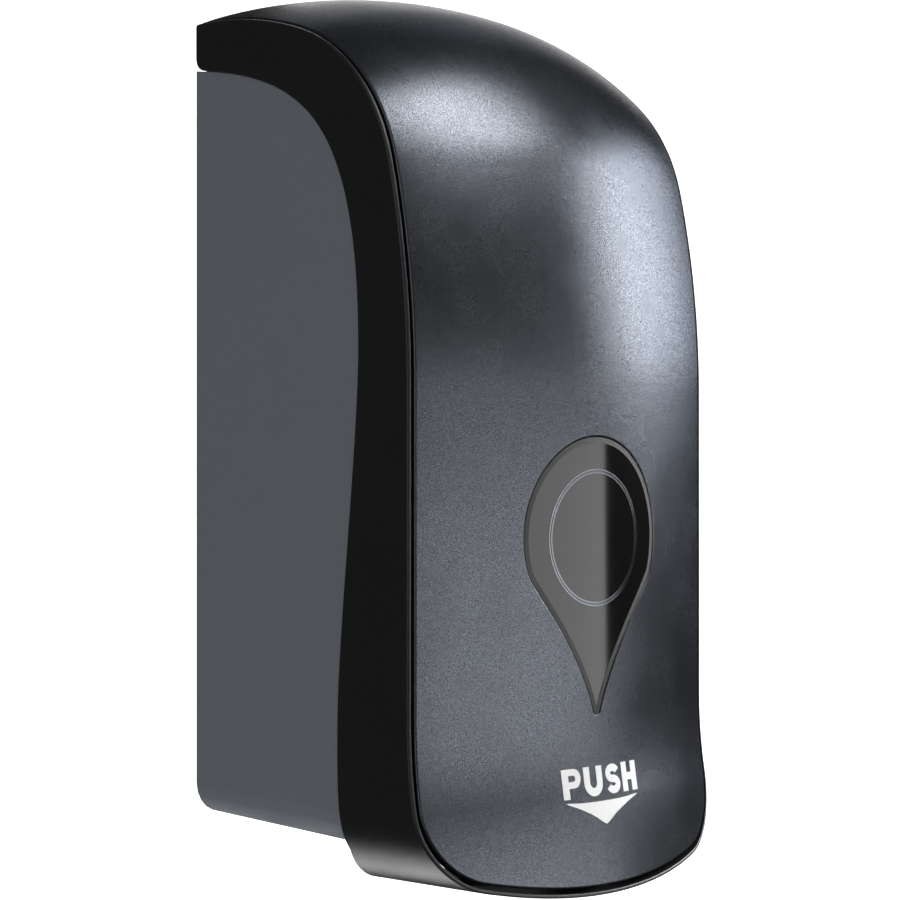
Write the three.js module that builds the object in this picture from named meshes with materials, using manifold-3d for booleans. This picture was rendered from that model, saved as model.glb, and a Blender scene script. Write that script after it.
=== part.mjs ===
// Wall mounted push soap dispenser. Millimetres, Z up, wall plane at Y = 0, front facing -Y.
// The origin lies on the wall plane, in the middle of the housing's back plate.
import * as THREE from 'three';
import { mergeVertices } from 'three/addons/utils/BufferGeometryUtils.js';
import Module from 'manifold-3d';

const wasm = await Module();
wasm.setup();

// ---- driving dimensions ----------------------------------------------------------------
const GAP = 0.3; // working clearance between neighbouring pieces
const BIG = 130; // reach of cutting bodies beyond the object

// cover: crowned front surface
const COVER_HALF = 56.5;
const CROWN_RADIUS = 150;
const PROFILE_START_Z = 108.1;
const PROFILE_START_HEADING = -3.45; // degrees, 0 = straight forward, positive = turning down
// side edge profile from the wall over the top and down the front: [radius, degrees, pieces]
const PROFILE_ARCS = [
  [102.3, 21.6, 3],
  [47.3, 58.6, 7],
  [233.5, 13.25, 2],
];
const PROFILE_STRAIGHT = 80;
const PROFILE_FLARE = [-121.5, -10.2, 2];
const PROFILE_RETURN = [267, 9, 2];

// cover: front outline
const CORNER_RADIUS = 20.7;
const BOTTOM_RADIUS = 193;
const BOTTOM_Z = -109.3;
const OUTLINE_TOP = 135;

// seam between the cover band and the housing, seen from the side
const SEAM_TOP_Z = 97.07;
const SEAM_BULGE = [-59.01, 24.76];
const SEAM_WAIST = [-51.92, -67.69];
const SEAM_END = [-55.8, -96.13];
const SEAM_GAP = 0.4;

// cover band
const BAND_WALL = 1.2;
const LIP_WALL = 2.2; // lip behind the panel's travel
const LIP_WALL_FRONT = 0.9; // lip below the panel's travel
const LIP_FRONT_Y = -70;
const LIP_TOP_Z = -97;
const LIP_REAR_Y = -46.5;
const LIP_REAR_SWEEP = 8.5;
const BRIDGE_INSET = [7, 9];
const BRIDGE_REAR_Y = -4;
const BRIDGE_SPLIT_Y = -40;
const BRIDGE_INNER_HALF = 51.9;

// push panel
const PANEL_HALF = 54.8;
const PANEL_CORNER = 19.0;
const PANEL_BOTTOM_RADIUS = 190.7;
const PANEL_BOTTOM_Z = -107.0;
const PANEL_SKIN = 2.2;
const PANEL_REAR_Y = -1;
const SKIRT = { outer: 54.5, inner: 52.9, depth: 6 };
const PANEL_PIVOT = [-58, 82];
const PIVOT_EAR = 3.6;
const PIN_RADIUS = 1.5;
const PUSHER = { z: -74, radius: 4.8, tip: -73.5 };

// level window
const WINDOW_CENTRE_Z = -21.7;
const WINDOW_RADIUS = 25;
const WINDOW_LEAVE = 22.3; // degrees below the horizontal where the flank leaves the circle
const WINDOW_FLANK = [[18.8, -37.4], [6.1, -50.2]];
const WINDOW_TIP_Z = -64.3;
const WINDOW_TIP_RADIUS = 1.3;
const LENS_INSET = 0.3; // the lens's crowned front lies this far under the panel's surface
const LENS_BACK_Y = -79.6;
const RING_RADIUS = [16, 17];
const RING_DEPTH = 0.6;
const GASKET_INSET = 0.2;

// rear housing
const TRAY_HALF = 55.5;
const TRAY_CORNER = 8;
const TRAY_BOTTOM_Z = -92.8;
const TRAY_SLOPE = 3; // degrees, the underside drops towards the front
const TRAY_WALL = 2;
const TRAY_STEP = 1.9; // the inner wall layer sits this far inside the outer face
const TRAY_TUCK = 4; // the inner layer reaches this far under the band
const BACK_PLATE = 3;
const TONGUE = { half: 52.2, inset: 4, rear: -1 }; // back plate's raised top, under the cover
const LEDGE = { depth: 14, thick: 2.5, left: -52.5, right: 38 };
const WALL_HOLE = { x: 34, zTop: 86, zBottom: -44, radius: 2.75 };
const SHELF = { z: -58, thick: 2.4, front: -52 };
const RIB = { x: 22, depth: 3, z0: -52, z1: 84 };

// cover hinge
const HINGE = [-52, -100];
const HINGE_EAR = 3.4;
const HINGE_X = { outer: [33.5, 37], ear: [28, 33], inner: [24, 27.5] };

// lock in the right side of the band
const LOCK = { y: -24, z: 100, radius: 3.6, boss: 5.4, stem: 2.4, x: [42.2, 56.4], head: 47.6 };
const CATCH = { x: [42, 52.5], y: [-32, -30], z: [84, 92] };

// soap tank
const TANK = { half: 46, front: -62, rear: -8, bottom: -55, top: 80, corner: 7, wall: 1.8 };
const NECK = { y: -36, radius: 18, top: 88 };
const SPIGOT = { y: -26, radius: 5.5, bore: 4, bottom: -60.9 };

// pump, on an axis parallel to Y
const PUMP_Z = -74;
const BARREL = { front: -51, rear: -20, radius: 11, bore: 8, chamber: -22 };
const NOZZLE_Y = -30;
const NOZZLE_TIP_Z = -106;
const HEAD_Y = -71;

// ---- helpers ---------------------------------------------------------------------------
const rad = THREE.MathUtils.degToRad;

function solid(geometry) {
  const bare = geometry.clone();
  bare.deleteAttribute('normal');
  bare.deleteAttribute('uv');
  const merged = mergeVertices(bare, 1e-4);
  const index = merged.index.array;
  const kept = [];
  for (let i = 0; i < index.length; i += 3) {
    const [a, b, c] = [index[i], index[i + 1], index[i + 2]];
    if (a !== b && b !== c && c !== a) {
      kept.push(a, b, c);
    }
  }
  const mesh = new wasm.Mesh({
    numProp: 3,
    vertProperties: new Float32Array(merged.attributes.position.array),
    triVerts: new Uint32Array(kept),
  });
  return new wasm.Manifold(mesh);
}

function geometryOf(body) {
  const mesh = body.getMesh();
  const geometry = new THREE.BufferGeometry();
  geometry.setAttribute('position', new THREE.BufferAttribute(mesh.vertProperties, 3));
  geometry.setIndex(new THREE.BufferAttribute(mesh.triVerts, 1));
  geometry.computeVertexNormals();
  return geometry;
}

function unite(first, ...others) {
  return others.reduce((sum, body) => sum.add(body), first);
}

function cut(first, ...others) {
  return others.reduce((rest, body) => rest.subtract(body), first);
}

function extrusion(points, depth) {
  const shape = new THREE.Shape(points.map(([x, y]) => new THREE.Vector2(x, y)));
  return new THREE.ExtrudeGeometry(shape, { depth, bevelEnabled: false });
}

// outline in (Y, Z) carried along X
function prismX(points, x0, x1) {
  const turn = new THREE.Matrix4().makeBasis(
    new THREE.Vector3(0, 1, 0), new THREE.Vector3(0, 0, 1), new THREE.Vector3(1, 0, 0));
  return solid(extrusion(points, x1 - x0).applyMatrix4(turn).translate(x0, 0, 0));
}

// outline in (X, Z) carried along Y; drop = tangent by which Z falls towards the front
function prismY(points, y0, y1, drop = 0) {
  const turn = new THREE.Matrix4().makeBasis(
    new THREE.Vector3(1, 0, 0), new THREE.Vector3(0, 0, 1), new THREE.Vector3(0, -1, 0));
  const shear = new THREE.Matrix4().set(1, 0, 0, 0, 0, 1, 0, 0, 0, drop, 1, 0, 0, 0, 0, 1);
  return solid(extrusion(points, y1 - y0).applyMatrix4(turn).translate(0, y1, 0).applyMatrix4(shear));
}

// outline in (X, Y) carried along Z
function prismZ(points, z0, z1) {
  return solid(extrusion(points, z1 - z0).translate(0, 0, z0));
}

function box(x0, x1, y0, y1, z0, z1) {
  const geometry = new THREE.BoxGeometry(x1 - x0, y1 - y0, z1 - z0);
  return solid(geometry.translate((x0 + x1) / 2, (y0 + y1) / 2, (z0 + z1) / 2));
}

// points of an arc, angles in degrees
function arc(cx, cy, radius, from, to, pieces) {
  return Array.from({ length: pieces + 1 }, (_, i) => {
    const angle = rad(from + ((to - from) * i) / pieces);
    return [cx + radius * Math.cos(angle), cy + radius * Math.sin(angle)];
  });
}

function circle(cx, cy, radius, pieces = 20) {
  return arc(cx, cy, radius, 0, 360, pieces).slice(0, pieces);
}

// body of revolution; profile holds [radius, height] pairs from the bottom up, the axis being Y
function turned(profile, pieces = 20) {
  const points = profile.map(([r, h]) => new THREE.Vector2(r, h));
  return new THREE.LatheGeometry(points, pieces);
}

function turnedZ(profile, x, y, pieces = 20) {
  return solid(turned(profile, pieces).rotateX(Math.PI / 2).translate(x, y, 0));
}

function turnedY(profile, x, z, pieces = 20) {
  return solid(turned(profile, pieces).translate(x, 0, z));
}

// closed outline moved inwards by a distance (negative = outwards)
function offsetOutline(points, inset) {
  const count = points.length;
  const moved = points.map(([x, y], i) => {
    const [ax, ay] = points[(i + count - 1) % count];
    const [bx, by] = points[(i + 1) % count];
    const length = Math.hypot(bx - ax, by - ay);
    return [x - ((by - ay) / length) * inset, y + ((bx - ax) / length) * inset];
  });
  const clear = ([x, y]) => points.every((p, i) => {
    const q = points[(i + 1) % count];
    const [ux, uy] = [q[0] - p[0], q[1] - p[1]];
    const t = Math.max(0, Math.min(1, ((x - p[0]) * ux + (y - p[1]) * uy) / (ux * ux + uy * uy)));
    return Math.hypot(x - p[0] - t * ux, y - p[1] - t * uy) > Math.abs(inset) * 0.97;
  });
  return moved.filter(clear);
}

// ---- crowned front surface -------------------------------------------------------------
function crown(x) {
  return Math.sqrt(CROWN_RADIUS ** 2 - x * x) - Math.sqrt(CROWN_RADIUS ** 2 - COVER_HALF ** 2);
}

// stations of the side edge profile: position (y, z) and outward normal (ny, nz)
function profileStations() {
  const stations = [];
  let heading = rad(PROFILE_START_HEADING);
  let y = 0;
  let z = PROFILE_START_Z;
  const mark = () => stations.push({ y, z, ny: -Math.sin(heading), nz: Math.cos(heading) });
  const straight = (length) => {
    y -= length * Math.cos(heading);
    z -= length * Math.sin(heading);
  };
  const bend = ([radius, degrees, pieces]) => {
    const step = rad(degrees) / pieces;
    for (let i = 0; i < pieces; i += 1) {
      const chord = 2 * radius * Math.sin(step / 2);
      heading += step / 2;
      straight(chord);
      heading += step / 2;
      mark();
    }
  };
  straight(-5);
  mark();
  straight(5);
  PROFILE_ARCS.forEach(bend);
  straight(PROFILE_STRAIGHT);
  mark();
  bend(PROFILE_FLARE);
  bend(PROFILE_RETURN);
  return stations;
}

const STATIONS = profileStations();

// layer of the crowned surface between two insets, cut square at +-half
function crownedLayer(insetOuter, insetInner, half, columns = 10) {
  const rows = STATIONS.length;
  const wide = columns + 1;
  const positions = [];
  [insetOuter, insetInner].forEach((inset) => {
    STATIONS.forEach(({ y, z, ny, nz }) => {
      for (let j = 0; j < wide; j += 1) {
        const x = -half + (2 * half * j) / columns;
        const lift = crown(x) - inset;
        positions.push(x, y + ny * lift, z + nz * lift);
      }
    });
  });
  const outer = (i, j) => i * wide + j;
  const inner = (i, j) => rows * wide + i * wide + j;
  const faces = [];
  const quad = (a, b, c, d) => faces.push(a, b, c, a, c, d);
  for (let i = 0; i + 1 < rows; i += 1) {
    for (let j = 0; j < columns; j += 1) {
      quad(outer(i, j), outer(i + 1, j), outer(i + 1, j + 1), outer(i, j + 1));
      quad(inner(i, j), inner(i, j + 1), inner(i + 1, j + 1), inner(i + 1, j));
    }
    quad(outer(i, 0), inner(i, 0), inner(i + 1, 0), outer(i + 1, 0));
    quad(outer(i, columns), outer(i + 1, columns), inner(i + 1, columns), inner(i, columns));
  }
  for (let j = 0; j < columns; j += 1) {
    quad(outer(0, j), outer(0, j + 1), inner(0, j + 1), inner(0, j));
    const last = rows - 1;
    quad(outer(last, j), inner(last, j), inner(last, j + 1), outer(last, j + 1));
  }
  const geometry = new THREE.BufferGeometry();
  geometry.setAttribute('position', new THREE.Float32BufferAttribute(positions, 3));
  geometry.setIndex(faces);
  return solid(geometry);
}

// everything that lies under the crowned surface moved in by inset
function underSurface(inset) {
  const block = box(-59, 59, -115, PANEL_REAR_Y, -118, 125);
  return block.subtract(crownedLayer(inset - 75, inset, 60));
}

// ---- outlines --------------------------------------------------------------------------
// front outline of the cover: straight sides, round lower corners, arched bottom, open at the top
function coverOutline(half, corner, bottomRadius, bottomZ) {
  const centreZ = bottomZ + bottomRadius;
  const cornerX = half - corner;
  const lean = Math.asin(cornerX / (bottomRadius - corner));
  const cornerZ = centreZ - (bottomRadius - corner) * Math.cos(lean);
  const tilt = THREE.MathUtils.radToDeg(lean);
  return [
    [-half, OUTLINE_TOP],
    ...arc(-cornerX, cornerZ, corner, 180, 270 - tilt, 6),
    ...arc(0, centreZ, bottomRadius, 270 - tilt, 270 + tilt, 8).slice(1, -1),
    ...arc(cornerX, cornerZ, corner, 270 + tilt, 360, 6),
    [half, OUTLINE_TOP],
  ];
}

function bandOutline(inset) {
  return coverOutline(
    COVER_HALF - inset, CORNER_RADIUS - inset, BOTTOM_RADIUS - inset, BOTTOM_Z + inset);
}

function trayOutline(inset) {
  const half = TRAY_HALF - inset;
  const corner = TRAY_CORNER - inset;
  const z = TRAY_BOTTOM_Z + TRAY_CORNER;
  return [
    [-half, OUTLINE_TOP],
    ...arc(-half + corner, z, corner, 180, 270, 5),
    ...arc(half - corner, z, corner, 270, 360, 5),
    [half, OUTLINE_TOP],
  ];
}

// the seam as a smooth curve in (Y, Z) from the wall to the lower front, moved towards the rear by back
function seam(back) {
  const p = (y, z) => new THREE.Vector2(y, z);
  const [bulgeY, bulgeZ] = SEAM_BULGE;
  const [waistY, waistZ] = SEAM_WAIST;
  const [endY, endZ] = SEAM_END;
  const upper = new THREE.CubicBezierCurve(
    p(0, SEAM_TOP_Z), p(-40.56, SEAM_TOP_Z - 4.48), p(bulgeY, bulgeZ + 53.93), p(bulgeY, bulgeZ));
  const middle = new THREE.CubicBezierCurve(
    p(bulgeY, bulgeZ), p(bulgeY, bulgeZ - 23.44), p(waistY, waistZ + 23.43), p(waistY, waistZ));
  const lower = new THREE.CubicBezierCurve(
    p(waistY, waistZ), p(waistY, waistZ - 13.41), p(endY + 4.14, endZ + 4.92), p(endY, endZ));
  const line = [[upper, 18], [middle, 7], [lower, 7]].flatMap(([curve, pieces], k) => {
    return curve.getPoints(pieces).slice(k ? 1 : 0);
  });
  return line.map((point, i) => {
    const before = line[Math.max(i - 1, 0)];
    const after = line[Math.min(i + 1, line.length - 1)];
    const along = after.clone().sub(before).normalize();
    return [point.x - along.y * back, point.y + along.x * back];
  });
}

// side outline of everything behind the seam; the underside may stay open downwards
function behindSeam(back, openBelow) {
  const line = seam(back);
  const [endY, endZ] = line[line.length - 1];
  const floor = openBelow ? -BIG : endZ;
  const foot = openBelow ? [[endY, floor]] : [];
  return [...line, ...foot, [10, floor], [10, line[0][1]]];
}

// drop-shaped window outline in (X, Z)
function windowOutline() {
  const leave = rad(WINDOW_LEAVE);
  const start = new THREE.Vector2(
    WINDOW_RADIUS * Math.cos(leave), WINDOW_CENTRE_Z - WINDOW_RADIUS * Math.sin(leave));
  const [first, second] = WINDOW_FLANK.map(([x, z]) => new THREE.Vector2(x, z));
  const end = new THREE.Vector2(WINDOW_TIP_RADIUS, WINDOW_TIP_Z);
  const flank = new THREE.CubicBezierCurve(start, first, second, end).getPoints(8);
  const right = flank.slice(1).reverse().map(({ x, y }) => [x, y]);
  const left = flank.slice(1).map(({ x, y }) => [-x, y]);
  return [
    ...right,
    ...arc(0, WINDOW_CENTRE_Z, WINDOW_RADIUS, -WINDOW_LEAVE, 180 + WINDOW_LEAVE, 26),
    ...left,
    ...arc(0, WINDOW_TIP_Z, WINDOW_TIP_RADIUS, 180, 360, 4).slice(1, -1),
  ];
}

// ---- materials -------------------------------------------------------------------------
function material(color, roughness, metalness = 0) {
  return new THREE.MeshStandardMaterial({ color, roughness, metalness });
}

const greyPlastic = material(0x484c52, 0.5);
const blackSatin = material(0x17181b, 0.42);
const panelFinish = material(0x24262b, 0.38, 0.6);
const smokedLens = material(0x0b0c0e, 0.06);
const brightMetal = material(0xc9cdd2, 0.2, 1);
const steel = material(0xb4b8bd, 0.3, 1);
const darkRubber = material(0x1b1b1c, 0.8);
const clearRubber = material(0xd8dad6, 0.6);
const tankPlastic = material(0xdde4e4, 0.35);
const whitePlastic = material(0xe6e6e1, 0.45);
const screwPlating = material(0xa9adb2, 0.35, 1);

const dispenser = new THREE.Group();
const housingGroup = new THREE.Group();
const coverGroup = new THREE.Group();
const panelGroup = new THREE.Group();
const pumpGroup = new THREE.Group();
coverGroup.add(panelGroup);
dispenser.add(housingGroup, coverGroup, pumpGroup);

function place(group, name, body, finish, at = [0, 0, 0]) {
  const geometry = body.isBufferGeometry ? body : geometryOf(body);
  const mesh = new THREE.Mesh(geometry, finish);
  mesh.name = name;
  mesh.position.set(...at);
  group.add(mesh);
}

// ---- rear housing ----------------------------------------------------------------------
function rearHousing() {
  const drop = Math.tan(rad(TRAY_SLOPE));
  const outer = prismY(trayOutline(0), -70, 0, drop)
    .intersect(prismX(behindSeam(SEAM_GAP, true), -60, 60));
  const inner = prismY(trayOutline(TRAY_STEP), -75, 0, drop)
    .intersect(prismX(behindSeam(-TRAY_TUCK, true), -60, 60));
  const hollow = prismY(trayOutline(TRAY_STEP + TRAY_WALL - 0.1), -80, -BACK_PLATE, drop);
  const trimTop = box(-60, 60, -BIG, 10, SEAM_TOP_Z - SEAM_GAP, BIG);
  const lockRoom = box(50, 57, LOCK.y - 14, LOCK.y + 16, 80, BIG)
    .subtract(prismX(behindSeam(SEAM_GAP, true), -60, 60));
  const tray = cut(outer.add(inner), hollow, trimTop, lockRoom);

  // top ledge follows the seam near the wall
  const under = seam(SEAM_GAP + LEDGE.thick);
  const ledge = prismX([...seam(SEAM_GAP), ...under.reverse()], LEDGE.left, LEDGE.right)
    .intersect(box(-60, 60, -LEDGE.depth, -1, 80, 99));

  const shelf = box(-52, 52, SHELF.front, -1, SHELF.z, SHELF.z + SHELF.thick)
    .subtract(prismZ(circle(0, SPIGOT.y, SPIGOT.radius + 1.5), SHELF.z - 2, SHELF.z + 6));
  const ribs = [-RIB.x, RIB.x].map((x) => box(x - 1, x + 1, -BACK_PLATE - RIB.depth, -1, RIB.z0, RIB.z1));

  // pillars that take the pump bracket's screws
  const pillars = [-20, 20].map((x) => prismY(circle(x, PUMP_Z, 4), -6, -1));
  const pilotHoles = [-20, 20].map((x) => prismY(circle(x, PUMP_Z, 2), -8, -1.2));

  const hook = box(...CATCH.x, ...CATCH.y, ...CATCH.z);

  // hinge ears hang from the bottom wall
  const [pivotY, pivotZ] = HINGE;
  const ears = [-1, 1].map((side) => {
    const [a, b] = HINGE_X.ear.map((x) => x * side).sort((p, q) => p - q);
    return prismX(circle(pivotY, pivotZ, HINGE_EAR), a, b)
      .add(box(a, b, pivotY - 3, pivotY + 3, pivotZ, pivotZ + 7));
  });
  const earHole = prismX(circle(pivotY, pivotZ, PIN_RADIUS + GAP), -40, 40);

  const nozzleHole = prismZ(circle(0, NOZZLE_Y, 8), -100, -84);
  const wallHoles = [[-1, WALL_HOLE.zTop], [1, WALL_HOLE.zTop], [-1, WALL_HOLE.zBottom], [1, WALL_HOLE.zBottom]]
    .map(([side, z]) => prismY(circle(side * WALL_HOLE.x, z, WALL_HOLE.radius, 16), -10, 5));

  const tongue = box(-TONGUE.half, TONGUE.half, -BACK_PLATE, TONGUE.rear, 90, BIG)
    .intersect(underSurface(TONGUE.inset));

  const joined = unite(tray, tongue, ledge, shelf, ...ribs, ...pillars, hook, ...ears);
  return cut(joined, earHole, nozzleHole, ...wallHoles, ...pilotHoles);
}

place(housingGroup, 'rear_housing', rearHousing(), greyPlastic);

// ---- cover frame -----------------------------------------------------------------------
function coverFrame() {
  const outside = prismY(bandOutline(0), -BIG, -1);
  const inside = prismY(coverOutline(
    COVER_HALF - BAND_WALL, CORNER_RADIUS - BAND_WALL, BOTTOM_RADIUS - LIP_WALL_FRONT,
    BOTTOM_Z + LIP_WALL_FRONT), -BIG - 5, 5);
  const band = outside.subtract(inside).intersect(underSurface(0));
  const lip = outside
    .subtract(prismY(bandOutline(LIP_WALL), -BIG - 5, 5))
    .intersect(box(-60, 60, LIP_FRONT_Y, 0, -BIG, LIP_TOP_Z));

  // the lip's rear edge sweeps forward towards the sides
  const rearEdge = Array.from({ length: 17 }, (_, i) => {
    const x = -60 + 7.5 * i;
    return [x, LIP_REAR_Y - LIP_REAR_SWEEP * (x / COVER_HALF) ** 4];
  });
  const lipCut = prismZ([...rearEdge, [60, 10], [-60, 10]], -BIG, SEAM_END[1] + 0.5);
  const rearCut = prismX(behindSeam(0, false), -60, 60);
  const shellOfBand = cut(band.add(lip), rearCut, lipCut);

  // bridge under the panel's top joins the two sides
  const layer = crownedLayer(...BRIDGE_INSET, COVER_HALF - 0.4);
  const narrowLayer = crownedLayer(...BRIDGE_INSET, BRIDGE_INNER_HALF);
  const [pinY, pinZ] = PANEL_PIVOT;
  const bridge = layer.intersect(box(-60, 60, BRIDGE_SPLIT_Y, BRIDGE_REAR_Y, 60, 125))
    .add(narrowLayer.intersect(box(-60, 60, pinY - 1, BRIDGE_SPLIT_Y + 2, 60, 125)));
  const bosses = [-1, 1].map((side) => {
    const [a, b] = [48.5 * side, BRIDGE_INNER_HALF * side].sort((p, q) => p - q);
    return prismX(circle(pinY, pinZ, 4.6), a, b)
      .add(box(a, b, pinY - 1, pinY + 6, pinZ, pinZ + 8).intersect(underSurface(8)));
  });
  const pinHole = prismX(circle(pinY, pinZ, PIN_RADIUS + GAP), -54, 54);

  // lock housing on the inside of the right wall
  const lockBoss = prismX(circle(LOCK.y, LOCK.z, LOCK.boss), 47.9, COVER_HALF - 0.5)
    .intersect(underSurface(6.5));
  const lockHole = prismX(circle(LOCK.y, LOCK.z, LOCK.radius + GAP), LOCK.head - 1, 60);
  const camRoom = box(41.5, LOCK.head, LOCK.y - 7, LOCK.y + 15, 90, 107);

  // hinge lugs beside the housing's ears
  const [pivotY, pivotZ] = HINGE;
  const lugs = [-1, 1].flatMap((side) => [HINGE_X.outer, HINGE_X.inner].map((span) => {
    const [a, b] = span.map((x) => x * side).sort((p, q) => p - q);
    return prismX(circle(pivotY, pivotZ, HINGE_EAR), a, b)
      .add(box(a, b, pivotY - 3, pivotY + 3, pivotZ - 8, pivotZ));
  }));
  const lugGroup = lugs.reduce((sum, lug) => sum.add(lug)).intersect(prismY(bandOutline(0.4), -BIG, 0));
  const hingeHole = prismX(circle(pivotY, pivotZ, PIN_RADIUS + GAP), -40, 40);

  const joined = unite(shellOfBand, bridge, ...bosses, lockBoss, lugGroup);
  return cut(joined, pinHole, lockHole, camRoom, hingeHole);
}

place(coverGroup, 'cover_frame', coverFrame(), blackSatin);

// rubber stops between the bridge and the panel's top
const stopLayer = crownedLayer(PANEL_SKIN + GAP, BRIDGE_INSET[0] - GAP, PANEL_HALF);
['left', 'right'].forEach((name, i) => {
  const x = i ? 30 : -30;
  const post = prismZ(circle(x, -16, 4, 16), 90, 125);
  place(coverGroup, `panel_stop_${name}`, post.intersect(stopLayer), darkRubber);
});

// ---- push panel ------------------------------------------------------------------------
const windowShape = windowOutline();

function pushPanel() {
  const panelOutline = coverOutline(PANEL_HALF, PANEL_CORNER, PANEL_BOTTOM_RADIUS, PANEL_BOTTOM_Z);
  const within = prismY(panelOutline, -BIG, PANEL_REAR_Y);
  const skin = crownedLayer(0, PANEL_SKIN, COVER_HALF).intersect(within);

  // short side skirts run down inside the band
  const skirtBand = underSurface(1).subtract(underSurface(SKIRT.depth));
  const skirts = [-1, 1].map((side) => {
    const [a, b] = [SKIRT.inner * side, SKIRT.outer * side].sort((p, q) => p - q);
    return skirtBand.intersect(box(a, b, -BIG, PANEL_REAR_Y, -84, BIG));
  });
  const lockNotch = box(SKIRT.inner - 1, SKIRT.outer + 1, LOCK.y - 6, LOCK.y + 6, 90, LOCK.z + 4.8);

  const [pinY, pinZ] = PANEL_PIVOT;
  const ears = [-1, 1].map((side) => {
    const [a, b] = [52.2 * side, SKIRT.outer * side].sort((p, q) => p - q);
    return prismX(circle(pinY, pinZ, PIVOT_EAR), a, b)
      .add(box(a, b, pinY - 5, pinY + 2.5, pinZ, pinZ + 8).intersect(underSurface(1)));
  });
  const pinHole = prismX(circle(pinY, pinZ, PIN_RADIUS + GAP), -58, 58);

  // raised frame round the window on the inside
  const frameOuter = prismY(offsetOutline(windowShape, -3.4), -BIG, LENS_BACK_Y);
  const frame = frameOuter.intersect(underSurface(1));
  const opening = prismY(windowShape, -BIG, -70);

  // pusher that meets the pump's head
  const pusher = prismY(circle(0, PUSHER.z, PUSHER.radius), -BIG, PUSHER.tip)
    .intersect(underSurface(1));
  const webs = box(-16, 16, -84, PUSHER.tip - 4, PUSHER.z - 1, PUSHER.z + 1)
    .intersect(underSurface(1));

  const joined = unite(skin, frame, ...skirts, ...ears, pusher, webs);
  return cut(joined, opening, pinHole, lockNotch);
}

place(panelGroup, 'push_panel', pushPanel(), panelFinish);

// ring-shaped layer in the lens's crowned front, grown by a clearance
function ringLayer(clearance) {
  const [inner, outer] = RING_RADIUS;
  return prismY(circle(0, WINDOW_CENTRE_Z, outer + clearance, 40), -BIG, LENS_BACK_Y)
    .subtract(prismY(circle(0, WINDOW_CENTRE_Z, inner - clearance, 40), -BIG - 5, 0))
    .intersect(underSurface(clearance ? 0 : LENS_INSET))
    .subtract(underSurface(LENS_INSET + RING_DEPTH + clearance));
}

const lens = prismY(offsetOutline(windowShape, 1.5), -BIG, LENS_BACK_Y)
  .intersect(underSurface(LENS_INSET))
  .subtract(ringLayer(GAP));
place(panelGroup, 'window_lens', lens, smokedLens);

const gasket = prismY(offsetOutline(windowShape, GAP), -BIG, LENS_BACK_Y)
  .subtract(prismY(offsetOutline(windowShape, 1.2), -BIG - 5, -70))
  .intersect(underSurface(GASKET_INSET));
place(panelGroup, 'window_gasket', gasket, darkRubber);

place(panelGroup, 'lens_ring', ringLayer(0), brightMetal);

const retainer = prismY(offsetOutline(windowShape, -3), LENS_BACK_Y + GAP, LENS_BACK_Y + GAP + 2)
  .subtract(prismY(offsetOutline(windowShape, 3.2), -90, -70));
place(panelGroup, 'lens_retainer', retainer, whitePlastic);

// ---- pins ------------------------------------------------------------------------------
function pinGeometry(length) {
  return new THREE.CylinderGeometry(PIN_RADIUS, PIN_RADIUS, length, 16).rotateZ(Math.PI / 2);
}

const PANEL_PIN = [48.9, 54.7];
const HINGE_PIN = [23.6, 37.4];
['left', 'right'].forEach((name, i) => {
  const side = i ? 1 : -1;
  const middle = (span) => ((span[0] + span[1]) / 2) * side;
  place(coverGroup, `panel_pin_${name}`, pinGeometry(PANEL_PIN[1] - PANEL_PIN[0]), steel,
    [middle(PANEL_PIN), ...PANEL_PIVOT]);
  place(housingGroup, `hinge_pin_${name}`, pinGeometry(HINGE_PIN[1] - HINGE_PIN[0]), steel,
    [middle(HINGE_PIN), ...HINGE]);
});

// ---- lock ------------------------------------------------------------------------------
const [stemEnd, faceX] = LOCK.x;
const barrelBody = prismX(circle(LOCK.y, LOCK.z, LOCK.radius), LOCK.head, faceX);
const stem = prismX(circle(LOCK.y, LOCK.z, LOCK.stem, 16), stemEnd, LOCK.head + 1);
const clipGroove = prismX(circle(LOCK.y, LOCK.z, 5), 43, 44.1)
  .subtract(prismX(circle(LOCK.y, LOCK.z, 1.6, 16), 42, 45));
const keySlot = box(faceX - 6, faceX + 1, LOCK.y - 2.2, LOCK.y + 2.2, LOCK.z - 0.7, LOCK.z + 0.7);
place(coverGroup, 'lock_barrel', cut(barrelBody.add(stem), clipGroove, keySlot), brightMetal);

// the lever points to the rear while unlocked and hangs behind the housing's catch when locked
const camLever = prismX([
  ...arc(LOCK.y, LOCK.z, 3.8, 90, 270, 10),
  ...arc(LOCK.y + 11, LOCK.z, 2.6, -90, 90, 8),
], 44.5, 46.6).subtract(prismX(circle(LOCK.y, LOCK.z, LOCK.stem + GAP, 16), 44, 48));
place(coverGroup, 'lock_cam', camLever, steel);

const clip = prismX(circle(LOCK.y, LOCK.z, 4), 43.2, 43.9)
  .subtract(prismX(circle(LOCK.y, LOCK.z, 1.9, 16), 42, 45))
  .subtract(box(42, 45, LOCK.y - 1.2, LOCK.y + 1.2, LOCK.z, LOCK.z + 8));
place(coverGroup, 'lock_clip', clip, steel);

// ---- soap tank -------------------------------------------------------------------------
function tankOutline(inset) {
  const half = TANK.half - inset;
  const r = TANK.corner - inset;
  const front = TANK.front + inset;
  const rear = TANK.rear - inset;
  return [
    ...arc(-half + r, front + r, r, 180, 270, 4),
    ...arc(half - r, front + r, r, 270, 360, 4),
    ...arc(half - r, rear - r, r, 0, 90, 4),
    ...arc(-half + r, rear - r, r, 90, 180, 4),
  ];
}

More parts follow.
